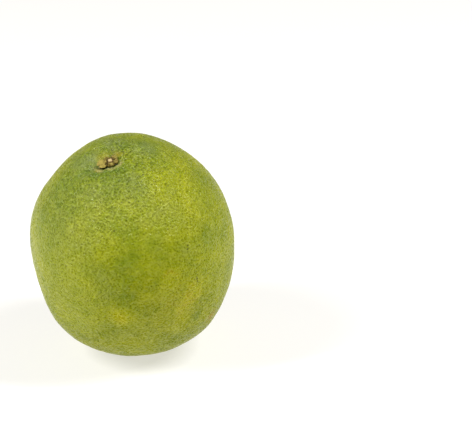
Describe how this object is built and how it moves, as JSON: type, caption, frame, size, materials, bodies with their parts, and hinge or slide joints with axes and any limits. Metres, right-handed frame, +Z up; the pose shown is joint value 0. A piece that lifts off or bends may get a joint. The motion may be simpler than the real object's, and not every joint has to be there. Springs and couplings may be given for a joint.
{
  "type": "sweet lime",
  "caption": "Whole picked sweet lime with pitted green rind, a dry lobed calyx and a snapped stalk end, resting on a small flat spot.",
  "frame": {"origin": "middle of the outline seen from above, on the surface that the fruit rests on", "axes": "+Z up as it rests; the stem end leans from +Z towards -Y and a little towards -X, about 24 degrees"},
  "size_m": [0.0698, 0.072, 0.0801],
  "materials": {
    "rind": "waxy citrus rind, satin, pitted with oil glands, mottled green and yellow-green",
    "calyx": "dry papery calyx, tan to brown, matt",
    "stalk": "snapped dry stalk, pale fibres, matt"
  },
  "bodies": {
    "root": {"fruit": "rind", "calyx": "calyx", "stalk_stub": "stalk"}
  },
  "joints": []
}
